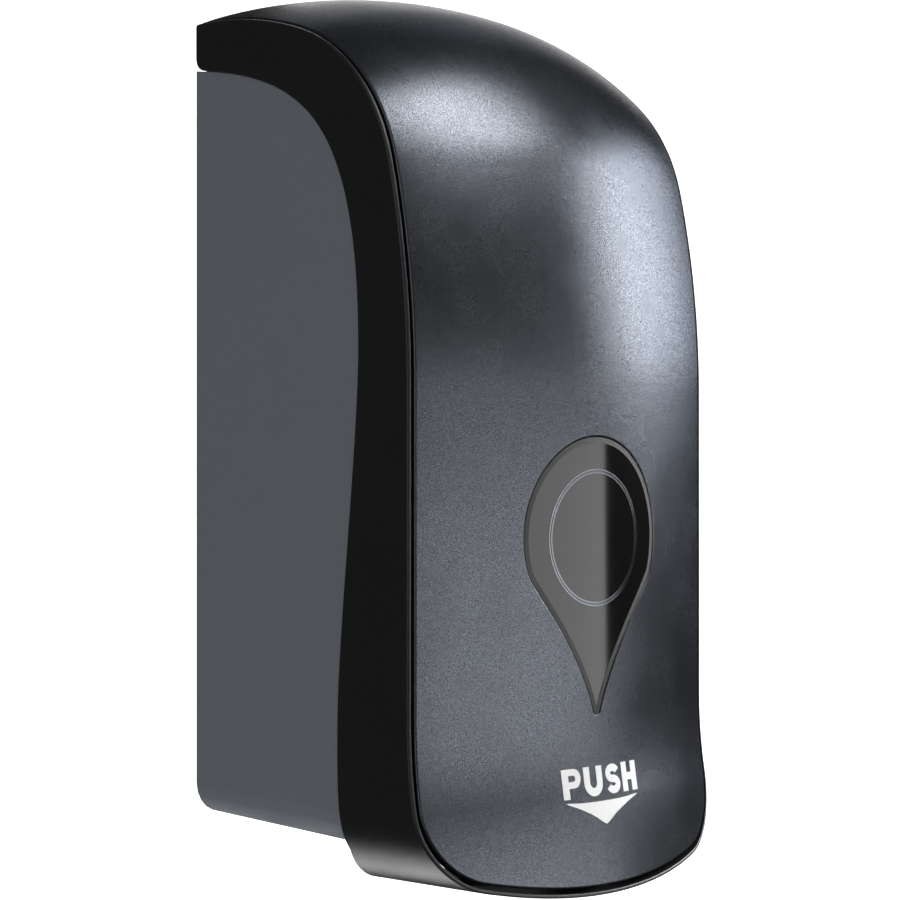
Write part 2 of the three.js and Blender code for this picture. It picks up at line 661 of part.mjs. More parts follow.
function soapTank() {
  const { bottom, top, wall } = TANK;
  const neck = prismZ(circle(0, NECK.y, NECK.radius, 32), top - wall, NECK.top);
  const spigot = prismZ(circle(0, SPIGOT.y, SPIGOT.radius), SPIGOT.bottom, bottom + 1);
  const outside = unite(prismZ(tankOutline(0), bottom, top), neck, spigot);
  const inside = prismZ(tankOutline(wall), bottom + wall, top - wall);
  const mouth = prismZ(circle(0, NECK.y, NECK.radius - wall, 32), top - wall - 1, NECK.top + 1);
  const outlet = prismZ(circle(0, SPIGOT.y, SPIGOT.bore), SPIGOT.bottom - 1, bottom + wall + 1);
  return cut(outside, inside, mouth, outlet);
}

place(housingGroup, 'soap_tank', soapTank(), tankPlastic);

const CAP = { inner: NECK.radius + GAP, outer: 20.4, skirt: 82.5, plate: 90, top: 92.5 };
const capBody = turnedZ([
  [CAP.inner, CAP.skirt], [CAP.outer, CAP.skirt], [CAP.outer, CAP.top], [0, CAP.top],
  [0, CAP.plate], [CAP.inner, CAP.plate], [CAP.inner, CAP.skirt],
].map(([r, z]) => [r, z]), 0, 0, 32);
const grip = box(-14, 14, -2, 2, CAP.top - 1, CAP.top + 3.5);
place(housingGroup, 'filler_cap', capBody.add(grip), greyPlastic, [0, NECK.y, 0]);

const sealLow = NECK.top + GAP;
const sealHigh = CAP.plate - GAP;
const capSeal = turnedZ([
  [16, sealLow], [17.8, sealLow], [17.8, sealHigh], [16, sealHigh], [16, sealLow],
], 0, 0, 32);
place(housingGroup, 'filler_cap_seal', capSeal, clearRubber, [0, NECK.y, 0]);

// ---- pump ------------------------------------------------------------------------------
const CUP = { inner: 7.6, outer: 9.2, floor: -62.9, top: -59.5 };

function pumpBody() {
  const { front, rear, radius, bore, chamber } = BARREL;
  const barrel = prismY(circle(0, PUMP_Z, radius), front, rear);
  const tail = prismY(circle(0, PUMP_Z, 7), rear - 1, -8);
  const cup = prismZ(circle(0, SPIGOT.y, CUP.outer), PUMP_Z, CUP.top)
    .subtract(prismY(circle(0, PUMP_Z, bore + 0.5), front - 1, chamber));
  const outlet = prismZ(circle(0, NOZZLE_Y, 3), -90, PUMP_Z - bore - 1);
  const boreCut = prismY(circle(0, PUMP_Z, bore), front - 1, chamber);
  const cupCut = prismZ(circle(0, SPIGOT.y, CUP.inner), CUP.floor, -50);
  const inletCut = prismZ(circle(0, SPIGOT.y, 3.4), PUMP_Z, CUP.floor + 1);
  const outletCut = prismZ(circle(0, NOZZLE_Y, 1.8, 16), -95, PUMP_Z);
  return cut(unite(barrel, tail, cup, outlet), boreCut, cupCut, inletCut, outletCut);
}

place(housingGroup, 'pump_body', pumpBody(), whitePlastic);

// collar closes the barrel and guides the rod
const rodRadius = 3.5;
const collarFront = BARREL.front - 2;
const collar = turnedY([
  [rodRadius + GAP, collarFront], [12.8, collarFront], [12.8, BARREL.front + 6],
  [BARREL.radius + GAP, BARREL.front + 6], [BARREL.radius + GAP, BARREL.front - GAP],
  [rodRadius + GAP, BARREL.front - GAP], [rodRadius + GAP, collarFront],
], 0, PUMP_Z);
place(housingGroup, 'pump_collar', collar, greyPlastic);

// plunger: head, rod and grooved piston
const plunger = turnedY([
  [0, HEAD_Y], [12, HEAD_Y], [12, HEAD_Y + 3], [rodRadius, HEAD_Y + 3], [rodRadius, -44.5],
  [7.3, -44.5], [7.3, -43], [5.5, -43], [5.5, -41], [7.3, -41], [7.3, -40], [0, -40],
], 0, PUMP_Z);
place(pumpGroup, 'plunger', plunger, whitePlastic);

const sealProfile = (inner, outer, from, to) => {
  return [[inner, from], [outer, from], [outer, to], [inner, to], [inner, from]];
};
place(pumpGroup, 'piston_seal', turnedY(sealProfile(5.8, 7.7, -42.7, -41.3), 0, PUMP_Z), darkRubber);
place(pumpGroup, 'plunger_pad', prismY(circle(0, PUMP_Z, 8), HEAD_Y - 2.2, HEAD_Y - GAP), darkRubber);

// return spring round the rod
const SPRING = { radius: 8.5, wire: 0.55, turns: 4, front: HEAD_Y + 3 + GAP, rear: collarFront - GAP };

class Coil extends THREE.Curve {
  getPoint(t, target = new THREE.Vector3()) {
    const angle = 2 * Math.PI * SPRING.turns * t;
    const from = SPRING.front + SPRING.wire;
    const to = SPRING.rear - SPRING.wire;
    return target.set(
      SPRING.radius * Math.cos(angle), from + (to - from) * t, PUMP_Z + SPRING.radius * Math.sin(angle));
  }
}

const wireSection = new THREE.Shape(
  circle(0, 0, SPRING.wire, 5).map(([x, y]) => new THREE.Vector2(x, y)));
const spring = new THREE.ExtrudeGeometry(wireSection, { steps: 52, extrudePath: new Coil() });
place(pumpGroup, 'pump_spring', solid(spring), steel);

// inlet and outlet
place(housingGroup, 'inlet_valve', prismZ(circle(0, SPIGOT.y, 5.4), CUP.floor + GAP, SPIGOT.bottom - GAP),
  clearRubber);
const inletSeal = turnedZ(sealProfile(5.8, 7.3, CUP.floor + GAP, CUP.top - 0.2), 0, SPIGOT.y);
place(housingGroup, 'inlet_seal', inletSeal, clearRubber);

const nozzle = turnedZ([
  [2.4, NOZZLE_TIP_Z], [3.7, NOZZLE_TIP_Z], [4.8, -92], [4.8, -86], [3.3, -86], [3.3, -92.3],
  [2.4, -92.3], [2.4, NOZZLE_TIP_Z],
], 0, NOZZLE_Y);
place(housingGroup, 'nozzle', nozzle, greyPlastic);

const outletValve = turnedZ([
  [0, -97], [1.2, -97], [2, -94], [2, -91.9], [3, -91.9], [3, -90.5], [0, -90.5],
], 0, NOZZLE_Y, 16);
place(housingGroup, 'outlet_valve', outletValve, clearRubber);

// bracket that holds the pump's tail
const bracketFront = -9;
const socket = prismY(circle(0, PUMP_Z, 9.6), -15.4, -6.3);
const plate = box(-26, 26, bracketFront, -6.3, PUMP_Z - 8, PUMP_Z + 8);
const tailHole = prismY(circle(0, PUMP_Z, 7 + GAP), -25, -7.4);
const screwHoles = [-20, 20].map((x) => prismY(circle(x, PUMP_Z, 2, 16), -12, -4));
place(housingGroup, 'pump_bracket', cut(socket.add(plate), tailHole, ...screwHoles), greyPlastic);

const screw = turned([
  [0, 0], [3.2, 0], [3.2, 2], [1.7, 2], [1.7, 9.4], [0, 9.4],
], 16);
['left', 'right'].forEach((name, i) => {
  place(housingGroup, `bracket_screw_${name}`, solid(screw), screwPlating,
    [i ? 20 : -20, bracketFront - GAP - 2, PUMP_Z]);
});

export default dispenser;
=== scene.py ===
import math
import bpy
import numpy as np
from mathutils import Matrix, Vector
from mathutils.geometry import delaunay_2d_cdt


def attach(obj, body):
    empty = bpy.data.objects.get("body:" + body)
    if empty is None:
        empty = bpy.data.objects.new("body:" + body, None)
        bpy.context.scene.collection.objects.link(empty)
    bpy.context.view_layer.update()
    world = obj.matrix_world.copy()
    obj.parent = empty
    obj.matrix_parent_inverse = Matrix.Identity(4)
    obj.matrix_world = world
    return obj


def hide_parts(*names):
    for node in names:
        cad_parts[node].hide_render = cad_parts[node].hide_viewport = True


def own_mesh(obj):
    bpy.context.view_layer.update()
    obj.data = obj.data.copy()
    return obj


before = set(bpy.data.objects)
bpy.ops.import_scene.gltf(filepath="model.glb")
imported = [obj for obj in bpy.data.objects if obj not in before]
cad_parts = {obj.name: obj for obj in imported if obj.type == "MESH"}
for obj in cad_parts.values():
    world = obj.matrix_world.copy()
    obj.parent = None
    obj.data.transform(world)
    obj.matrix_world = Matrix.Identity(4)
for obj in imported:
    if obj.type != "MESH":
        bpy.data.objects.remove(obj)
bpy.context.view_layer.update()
MM = 0.001

# ---- crowned front surface, millimetres ------------------------------------------------
CROWN = 150.0
HALF = 56.5
ARCS = [(102.3, 21.6), (47.3, 58.6), (233.5, 13.25), (None, 80.0), (-121.5, -10.2), (267.0, 9.0)]


def profile_segments():
    y, z, heading, s, out = 0.0, 108.1, math.radians(-3.45), 0.0, []
    for radius, amount in ARCS:
        out.append((s, y, z, heading, radius))
        if radius is None:
            y -= amount * math.cos(heading)
            z -= amount * math.sin(heading)
            s += amount
            continue
        turn = math.radians(amount)
        cy, cz = y + math.sin(heading) * radius, z - math.cos(heading) * radius
        heading += turn
        y, z = cy - math.sin(heading) * radius, cz + math.cos(heading) * radius
        s += radius * turn
    return out


SEGMENTS = profile_segments()


def profile(s):
    start, y, z, heading, radius = SEGMENTS[0]
    for segment in SEGMENTS:
        if s >= segment[0]:
            start, y, z, heading, radius = segment
    d = s - start
    if radius is None or s < 0:
        sine, cosine = math.sin(heading), math.cos(heading)
        return y - d * cosine, z - d * sine, -sine, cosine
    turned = heading + d / radius
    cy, cz = y + math.sin(heading) * radius, z - math.cos(heading) * radius
    sine, cosine = math.sin(turned), math.cos(turned)
    return cy - sine * radius, cz + cosine * radius, -sine, cosine


def crown(x):
    return math.sqrt(CROWN ** 2 - x * x) - math.sqrt(CROWN ** 2 - HALF ** 2)


def surface(x, s, depth=0.0):
    y, z, ny, nz = profile(s)
    lift = crown(x) - depth
    lean = x / math.sqrt(CROWN ** 2 - x * x)
    length = math.sqrt(1 + lean * lean)
    return (x, y + ny * lift, z + nz * lift), (lean / length, ny / length, nz / length)


def solve(low, high, test):
    for _ in range(34):
        middle = (low + high) / 2
        low, high = (middle, high) if test(middle) else (low, middle)
    return (low + high) / 2


def s_at_z(x, z):
    return solve(60.0, 330.0, lambda s: surface(x, s)[0][2] > z)


def s_at_y(x, y):
    return solve(-12.0, 60.0, lambda s: surface(x, s)[0][1] > y)


# ---- outlines --------------------------------------------------------------------------
def arc(cx, cy, rx, a0, a1, n, ry=None):
    ry = rx if ry is None else ry
    angles = [math.radians(a0 + (a1 - a0) * i / n) for i in range(n + 1)]
    return [(cx + rx * math.cos(a), cy + ry * math.sin(a)) for a in angles]


def cubic(p0, p1, p2, p3, n):
    out = []
    for i in range(n + 1):
        t = i / n
        w = ((1 - t) ** 3, 3 * t * (1 - t) ** 2, 3 * t * t * (1 - t), t ** 3)
        out.append(tuple(sum(k * p[a] for k, p in zip(w, (p0, p1, p2, p3))) for a in (0, 1)))
    return out


def lower_outline(half, corner, bottom_radius, bottom_z, n=14):
    """(X, Z) from the left side's foot round the bottom to the right side's foot."""
    centre = bottom_z + bottom_radius
    cx = half - corner
    lean = math.asin(cx / (bottom_radius - corner))
    cz = centre - (bottom_radius - corner) * math.cos(lean)
    tilt = math.degrees(lean)
    left = arc(-cx, cz, corner, 180, 270 - tilt, n)
    bottom = arc(0, centre, bottom_radius, 270 - tilt, 270 + tilt, 36)[1:-1]
    return left + bottom + arc(cx, cz, corner, 270 + tilt, 360, n)


WINDOW_Z, WINDOW_RADIUS, LEAVE = -21.7, 25, 22.3  # centre, radius, and angle where the flanks leave the circle
TIP_Z, TIP_RADIUS = -64.3, 1.3


def window_outline():
    """(X, Z) of the drop: a circle, two flanks and a small round tip, anticlockwise."""
    leave = math.radians(LEAVE)
    start = (WINDOW_RADIUS * math.cos(leave), WINDOW_Z - WINDOW_RADIUS * math.sin(leave))
    flank = cubic(start, (18.8, -37.4), (6.1, -50.2), (TIP_RADIUS, TIP_Z), 22)
    right = flank[::-1][:-1]
    left = [(-x, z) for x, z in flank[1:]]
    circle = arc(0, WINDOW_Z, WINDOW_RADIUS, -LEAVE, 180 + LEAVE, 84)
    return right + circle + left + arc(0, TIP_Z, TIP_RADIUS, 180, 360, 8)[1:-1]


def offset(loop, d):
    """Closed loop moved to its left by d."""
    p = np.array(loop, float)
    e = np.roll(p, -1, 0) - p
    e /= np.linalg.norm(e, axis=1)[:, None]
    n = np.stack([-e[:, 1], e[:, 0]], 1)
    before = np.roll(n, 1, 0)
    k = 1 + (n * before).sum(1)
    return [tuple(q) for q in p + d * (n + before) / np.maximum(k, 0.35)[:, None]]


def inside(points, loop):
    p, q = np.array(loop, float), np.roll(np.array(loop, float), -1, 0)
    x, y = points[:, 0][:, None], points[:, 1][:, None]
    spans = (p[:, 1] > y) != (q[:, 1] > y)
    rise = np.where(q[:, 1] == p[:, 1], 1e-12, q[:, 1] - p[:, 1])
    cross = x < (q[:, 0] - p[:, 0]) * (y - p[:, 1]) / rise + p[:, 0]
    return (spans & cross).sum(1) % 2 == 1


def distance(points, loop):
    p = np.array(loop, float)
    u = np.roll(p, -1, 0) - p
    best = np.full(len(points), 1e9)
    for a, v in zip(p, u):
        w = points - a
        t = np.clip((w @ v) / max(v @ v, 1e-12), 0, 1)
        best = np.minimum(best, np.linalg.norm(w - t[:, None] * v, axis=1))
    return best


# ---- mesh building ---------------------------------------------------------------------
def make(name, verts, faces, normals=None, body=None, finish=None, replaces=None):
    mesh = bpy.data.meshes.new(name)
    mesh.from_pydata([tuple(c * MM for c in v) for v in verts], [], faces)
    mesh.polygons.foreach_set("use_smooth", [True] * len(mesh.polygons))
    if normals is not None:
        mesh.normals_split_custom_set(normals)
    obj = bpy.data.objects.new(name, mesh)
    bpy.context.scene.collection.objects.link(obj)
    if finish:
        mesh.materials.append(MATERIALS[finish])
    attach(obj, body)
    if replaces:
        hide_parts(replaces)
    return obj


class Builder:
    """Collects faces with one normal per corner and turns each face the right way out."""

    def __init__(self):
        self.verts, self.faces, self.normals = [], [], []

    def add(self, points):
        first = len(self.verts)
        self.verts += [tuple(p) for p in points]
        return list(range(first, first + len(points)))

    def face(self, corners, normals):
        pts = [np.array(self.verts[c]) for c in corners]
        geometric = np.cross(pts[1] - pts[0], pts[2] - pts[0])
        if len(pts) == 4:
            geometric = np.cross(pts[2] - pts[0], pts[3] - pts[1])
        if geometric @ np.sum(normals, 0) < 0:
            corners, normals = corners[::-1], normals[::-1]
        self.faces.append(tuple(corners))
        self.normals += [tuple(n) for n in normals]


def fill(loops, step):
    """Triangles of the area inside loops[0] and outside the others, with grid points every step."""
    points = [p for loop in loops for p in loop]
    edges, first = [], 0
    for loop in loops:
        edges += [(first + i, first + (i + 1) % len(loop)) for i in range(len(loop))]
        first += len(loop)
    low, high = np.min(loops[0], 0), np.max(loops[0], 0)
    if step:
        grid = np.array([(x, y) for x in np.arange(low[0] + step / 2, high[0], step)
                         for y in np.arange(low[1] + step / 2, high[1], step)])
        keep = inside(grid, loops[0]) & (distance(grid, loops[0]) > step * 0.35)
        for hole in loops[1:]:
            keep &= ~inside(grid, hole) & (distance(grid, hole) > step * 0.35)
        points += [tuple(p) for p in grid[keep]]
    result = delaunay_2d_cdt([Vector(p) for p in points], edges, [], 0, 1e-7)
    out = np.array([tuple(v) for v in result[0]])
    tris = np.array([f for f in result[2] if len(f) == 3])
    middle = out[tris].mean(1)
    keep = inside(middle, loops[0])
    for hole in loops[1:]:
        keep &= ~inside(middle, hole)
    a, b, c = (out[tris[:, k]] for k in range(3))
    area = np.abs((b - a)[:, 0] * (c - a)[:, 1] - (b - a)[:, 1] * (c - a)[:, 0])
    return out, tris[keep & (area > 1e-9)]


def plate(builder, outer, holes, top, bottom, place, step=None, edge=0.0, rings=3, back_step=6.0, back=True):
    """Sheet between two depths under place(u, v, depth); outer runs anticlockwise, holes clockwise."""
    loops = [outer] + holes

    def sideways(u, v, n):
        a, b = np.array(place(u, v, top)[0]), np.array(place(u + n[0] * 0.01, v + n[1] * 0.01, top)[0])
        return (b - a) / np.linalg.norm(b - a)

    inner_loops = []
    for loop in loops:
        outward = np.array(loop) - np.array(offset(loop, 0.05))
        outward /= np.linalg.norm(outward, axis=1)[:, None]
        out3 = [sideways(u, v, n) for (u, v), n in zip(loop, outward)]
        up3 = [np.array(place(u, v, top)[1]) for u, v in loop]
        count = len(loop)
        levels = range(rings + 1) if edge else [0]
        previous = None
        for k in levels:
            phi = math.pi / 2 * k / rings
            ring = offset(loop, edge * (1 - math.cos(phi))) if k else loop
            depth = top + edge * (1 - math.sin(phi)) if edge else top
            ids = builder.add([place(u, v, depth)[0] for u, v in ring])
            normals = [math.cos(phi) * o + math.sin(phi) * n for o, n in zip(out3, up3)]
            if previous is None:
                low = builder.add([place(u, v, bottom)[0] for u, v in loop])
                for i in range(count):
                    j = (i + 1) % count
                    builder.face([ids[i], ids[j], low[j], low[i]], [out3[i], out3[j], out3[j], out3[i]])
            else:
                ids0, normals0 = previous
                for i in range(count):
                    j = (i + 1) % count
                    builder.face([ids0[i], ids0[j], ids[j], ids[i]],
                                 [normals0[i], normals0[j], normals[j], normals[i]])
            previous = (ids, normals)
        inner_loops.append(ring)
    caps = [(inner_loops, top, 1, step), (loops, bottom, -1, step and back_step)]
    for edge_loops, depth, sign, spacing in caps[:2 if back else 1]:
        points, tris = fill(edge_loops, spacing)
        placed = [place(u, v, depth) for u, v in points]
        ids = builder.add([q[0] for q in placed])
        for t in tris:
            builder.face([ids[k] for k in t], [np.array(placed[k][1]) * sign for k in t])
    return builder


def finish_plate(builder, name, **kw):
    """Joins the layers that share an edge before the mesh is made."""
    keys, index, verts = {}, [], []
    for v in builder.verts:
        key = tuple(round(c * 2000) for c in v)
        if key not in keys:
            keys[key] = len(verts)
            verts.append(v)
        index.append(keys[key])
    faces, normals, at = [], [], 0
    for f in builder.faces:
        mapped = [index[c] for c in f]
        own = builder.normals[at:at + len(f)]
        at += len(f)
        kept = [k for k in range(len(mapped)) if mapped[k] != mapped[k - 1]]
        if len(kept) >= 3 and len(set(mapped)) >= 3:
            faces.append(tuple(mapped[k] for k in kept))
            normals += [own[k] for k in kept]
    return make(name, verts, faces, normals, **kw)


def prism_x(builder, outline, x0, x1, edge=0.3, holes=()):
    """Outline in (Y, Z) carried along X from x0 to x1, rounded at both ends."""
    holes = [list(h) for h in holes]
    middle = (x0 + x1) / 2
    plate(builder, outline, holes, 0, abs(x1 - middle), lambda y, z, d: ((x1 - d, y, z), (1.0, 0.0, 0.0)),
          edge=edge, rings=2, back=False)
    plate(builder, outline, holes, 0, abs(x0 - middle), lambda y, z, d: ((x0 + d, y, z), (-1.0, 0.0, 0.0)),
          edge=edge, rings=2, back=False)


# ---- materials -------------------------------------------------------------------------
def linear(c):
    return tuple((v / 12.92 if v <= 0.04045 else ((v + 0.055) / 1.055) ** 2.4) for v in c) + (1.0,)


def material(name, colour, rough, metallic=0.0, grain=2600.0, contrast=0.12, bump=0.05, spread=0.08,
             painted_edge_highlight=0.12, transmission=0.0, ior=1.5, rim=1.0):
    mat = bpy.data.materials.new(name)
    mat.use_nodes = True
    nodes, links = mat.node_tree.nodes, mat.node_tree.links
    shader = nodes["Principled BSDF"]
    shader.inputs["Metallic"].default_value = metallic
    shader.inputs["IOR"].default_value = ior
    shader.inputs["Transmission Weight"].default_value = transmission
    shader.inputs["Specular Tint"].default_value = (rim, rim, rim, 1)
    where = nodes.new("ShaderNodeTexCoord")
    fine = nodes.new("ShaderNodeTexNoise")
    fine.inputs["Scale"].default_value = grain
    fine.inputs["Detail"].default_value = 3
    broad = nodes.new("ShaderNodeTexNoise")
    broad.inputs["Scale"].default_value = 55
    broad.inputs["Detail"].default_value = 4
    for texture in (fine, broad):
        links.new(where.outputs["Object"], texture.inputs["Vector"])
    dark = linear([c * (1 - contrast) for c in colour])
    light = linear([min(1, c * (1 + contrast)) for c in colour])
    tone = nodes.new("ShaderNodeValToRGB")
    tone.color_ramp.elements[0].position, tone.color_ramp.elements[0].color = 0.36, dark
    tone.color_ramp.elements[1].position, tone.color_ramp.elements[1].color = 0.64, light
    links.new(fine.outputs["Fac"], tone.inputs["Fac"])
    # painted edge highlight: where pointiness marks a convex edge, the base colour is mixed towards a lighter
    # tone of itself
    geometry = nodes.new("ShaderNodeNewGeometry")
    edge = nodes.new("ShaderNodeMapRange")
    edge.inputs["From Min"].default_value = 0.52
    edge.inputs["From Max"].default_value = 0.62
    edge.inputs["To Max"].default_value = painted_edge_highlight
    links.new(geometry.outputs["Pointiness"], edge.inputs["Value"])
    painted_highlight_mix = nodes.new("ShaderNodeMix")
    painted_highlight_mix.data_type = "RGBA"
    painted_highlight_mix.inputs["B"].default_value = linear([min(1, c * 1.5 + 0.08) for c in colour])
    links.new(edge.outputs["Result"], painted_highlight_mix.inputs["Factor"])
    links.new(tone.outputs["Color"], painted_highlight_mix.inputs["A"])
    links.new(painted_highlight_mix.outputs["Result"], shader.inputs["Base Color"])
    gloss = nodes.new("ShaderNodeMapRange")
    gloss.inputs["From Min"].default_value = 0.3
    gloss.inputs["From Max"].default_value = 0.7
    gloss.inputs["To Min"].default_value = max(0.02, rough - spread)
    gloss.inputs["To Max"].default_value = rough + spread
    links.new(broad.outputs["Fac"], gloss.inputs["Value"])
    links.new(gloss.outputs["Result"], shader.inputs["Roughness"])
    relief = nodes.new("ShaderNodeBump")
    relief.inputs["Strength"].default_value = bump
    relief.inputs["Distance"].default_value = 0.0002
    links.new(fine.outputs["Fac"], relief.inputs["Height"])
    links.new(relief.outputs["Normal"], shader.inputs["Normal"])
    return mat


MATERIALS = {
    "housing_grey": material("housing_grey", (0.47, 0.49, 0.52), 0.55, contrast=0.04, bump=0.06),
    "band_black": material("band_black", (0.10, 0.103, 0.112), 0.32, grain=4200,
                           contrast=0.4, bump=0.3, spread=0.03),
    "panel_metallic": material("panel_metallic", (0.30, 0.31, 0.33), 0.265, metallic=0.9, grain=4800,
                               contrast=0.3, bump=0.16, spread=0.03, painted_edge_highlight=0.05, rim=0.25),
    "lens_smoked": material("lens_smoked", (0.012, 0.012, 0.014), 0.085, spread=0.01, bump=0.0, contrast=0.1),
    "bright_metal": material("bright_metal", (0.80, 0.81, 0.83), 0.2, metallic=1.0, contrast=0.04),
    "ring_line": material("ring_line", (0.42, 0.43, 0.45), 0.22, metallic=1.0, contrast=0.04),
    "steel": material("steel", (0.70, 0.71, 0.73), 0.3, metallic=1.0, contrast=0.05),
    "dark_rubber": material("dark_rubber", (0.035, 0.035, 0.038), 0.5, contrast=0.1),
    "clear_silicone": material("clear_silicone", (0.85, 0.86, 0.84), 0.45, transmission=0.5, contrast=0.03),
    "tank_clear": material("tank_clear", (0.87, 0.90, 0.90), 0.3, transmission=0.65, contrast=0.02),
    "white_plastic": material("white_plastic", (0.90, 0.90, 0.88), 0.45, contrast=0.02),
    "print_white": material("print_white", (0.86, 0.86, 0.86), 0.5, contrast=0.02, bump=0.02, painted_edge_highlight=0.0),
}

FINISHES = {
    "rear_housing": "housing_grey", "window_lens": "lens_smoked", "window_gasket": "dark_rubber",
    "lens_ring": "bright_metal", "lens_retainer": "white_plastic", "panel_pin_left": "steel",
    "panel_pin_right": "steel", "hinge_pin_left": "steel", "hinge_pin_right": "steel",
    "lock_barrel": "bright_metal", "lock_cam": "steel", "lock_clip": "steel", "soap_tank": "tank_clear",
    "filler_cap": "housing_grey", "filler_cap_seal": "clear_silicone", "pump_body": "white_plastic",
    "pump_collar": "housing_grey", "plunger": "white_plastic", "plunger_pad": "dark_rubber",
    "piston_seal": "dark_rubber", "pump_spring": "steel", "inlet_valve": "clear_silicone",
    "inlet_seal": "clear_silicone", "outlet_valve": "clear_silicone", "nozzle": "housing_grey",
    "pump_bracket": "housing_grey", "bracket_screw_left": "steel", "bracket_screw_right": "steel",
    "panel_stop_left": "dark_rubber", "panel_stop_right": "dark_rubber",
    "cover_frame": "band_black", "push_panel": "panel_metallic",
}
for node, finish in FINISHES.items():
    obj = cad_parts[node]
    obj.data.materials.clear()
    obj.data.materials.append(MATERIALS[finish])
    obj.data.polygons.foreach_set("use_smooth", [True] * len(obj.data.polygons))
    weld = obj.modifiers.new("weld", "WELD")
    weld.merge_threshold = 0.00001
    bevel = obj.modifiers.new("edges", "BEVEL")
    bevel.width = 0.00035 if node == "rear_housing" else 0.0002
    bevel.segments = 2
    bevel.limit_method = "ANGLE"
    bevel.angle_limit = math.radians(32)
    weighted = obj.modifiers.new("normals", "WEIGHTED_NORMAL")
    weighted.keep_sharp = False

# ---- push panel ------------------------------------------------------------------------
PANEL_HALF = 54.8
SKIN = 2.2
PANEL_PIVOT = (-58, 82)  # (Y, Z), as the next one
COVER_HINGE = (-52, -100)
PIN_BORE = 1.8
PUSHER_Z = -74


def side_stations(x, y_start, z_end, count):
    first, last = s_at_y(x, y_start), s_at_z(x, z_end)
    return [first + (last - first) * i / count for i in range(count + 1)]


def panel_outline():
    foot = lower_outline(PANEL_HALF, corner=19.0, bottom_radius=190.7, bottom_z=-107.0)
    left = [(-PANEL_HALF, s) for s in side_stations(-PANEL_HALF, -1.0, foot[0][1], 110)]
    bottom = [(x, s_at_z(x, z)) for x, z in foot[1:-1]]
    right = [(-x, s) for x, s in left[::-1]]
    top = [(x, s_at_y(x, -1.0)) for x in np.linspace(PANEL_HALF, -PANEL_HALF, 45)[1:-1]]
    return left + bottom + right + top


def anticlockwise(loop):
    p = np.array(loop)
    q = np.roll(p, -1, 0)
    return loop if (p[:, 0] * q[:, 1] - p[:, 1] * q[:, 0]).sum() > 0 else loop[::-1]


def on_surface(loop):
    return [(x, s_at_z(x, z)) for x, z in loop]


WINDOW = anticlockwise(window_outline())
panel = Builder()
outer = anticlockwise(panel_outline())
hole = anticlockwise(on_surface(WINDOW))[::-1]
plate(panel, outer, [hole], 0.0, SKIN, surface, step=2.5, edge=0.55, rings=4)
finish_plate(panel, "panel", body="panel", finish="panel_metallic", replaces="push_panel")

# window frame on the panel's inner face
LENS_BACK = -79.6


def frame_place(x, z, depth):
    """Depth 0 is the frame's rear face, depth 1 meets the panel's skin."""
    front = surface(x, s_at_z(x, z), SKIN - 0.4)[0][1]
    return (x, LENS_BACK + (front - LENS_BACK) * depth, z), (0.0, 1.0, 0.0)


frame_ring = Builder()
plate(frame_ring, offset(WINDOW, -3.4), [offset(WINDOW, -0.02)[::-1]], 0.0, 1.0, frame_place)
finish_plate(frame_ring, "panel_window_frame", body="panel", finish="panel_metallic")

# skirts, pivot ears and pusher
inner_parts = Builder()
for side in (-1, 1):
    stations = side_stations(54.0, -1.0, -84.0, 140)
    low = [(profile(s)[0] + profile(s)[2] * (crown(54) - 6), profile(s)[1] + profile(s)[3] * (crown(54) - 6))
           for s in stations]
    high = [(profile(s)[0] + profile(s)[2] * (crown(54) - 2), profile(s)[1] + profile(s)[3] * (crown(54) - 2))
            for s in stations]
    x0, x1 = sorted((52.9 * side, 54.5 * side))
    behind = [i for i, (y, z) in enumerate(high) if y > -17.5]
    ahead = [i for i, (y, z) in enumerate(high) if y < -30.5]
    for part in (behind, ahead):
        line = [high[i] for i in part] + [low[i] for i in part][::-1]
        prism_x(inner_parts, anticlockwise(line), x0, x1, edge=0.2)
    a, b = sorted((52.2 * side, 54.5 * side))
    ear = arc(*PANEL_PIVOT, 3.6, -170, -10, 12) + [(-54.5, 88.2), (-61.5, 86.4)]
    prism_x(inner_parts, anticlockwise(ear), a, b, edge=0.2, holes=[arc(*PANEL_PIVOT, PIN_BORE, 360, 18, 19)])
finish_plate(inner_parts, "panel_skirts", body="panel", finish="panel_metallic")

pusher = Builder()
plate(pusher, arc(0, PUSHER_Z, 4.8, 0, 350, 35), [], 0.0, 12.4,
      lambda x, z, d: ((x, -73.5 - d, z), (0.0, 1.0, 0.0)), edge=0.4)
finish_plate(pusher, "panel_pusher", body="panel", finish="panel_metallic")

# ---- window ----------------------------------------------------------------------------
lens = Builder()
plate(lens, on_surface(offset(WINDOW, 1.4)), [], top=0.3, bottom=3.0, place=surface, step=2.5, edge=0.4,
      rings=4)
finish_plate(lens, "lens", body="panel", finish="lens_smoked", replaces="window_lens")
gasket = Builder()
plate(gasket, on_surface(offset(WINDOW, 0.3)), [on_surface(offset(WINDOW, 1.25))[::-1]], top=0.25, bottom=3.4,
      place=surface, edge=0.2, rings=3)
finish_plate(gasket, "gasket", body="panel", finish="dark_rubber", replaces="window_gasket")
ring = Builder()
for outer_radius, inner_radius in ((17.0, 16.72), (16.28, 16.0)):
    plate(ring, on_surface(arc(0, WINDOW_Z, outer_radius, 0, 357, 119)),
          [on_surface(arc(0, WINDOW_Z, inner_radius, 360, 3, 119))], top=0.22, bottom=0.36, place=surface,
          edge=0.06, rings=2)
obj = finish_plate(ring, "ring_lines", body="panel", replaces="lens_ring")
obj.data.materials.append(MATERIALS["ring_line"])

# ---- legend: generic word and triangle -------------------------------------------------
CAP_TOP, CAP_FOOT = -78.1, -85.35
TALL = CAP_TOP - CAP_FOOT


def stroke(line, half):
    p = np.array(line)
    d = np.gradient(p, axis=0)
    d /= np.linalg.norm(d, axis=1)[:, None]
    n = np.stack([-d[:, 1], d[:, 0]], 1)
    return [tuple(q) for q in np.concatenate([p + n * half, (p - n * half)[::-1]])]


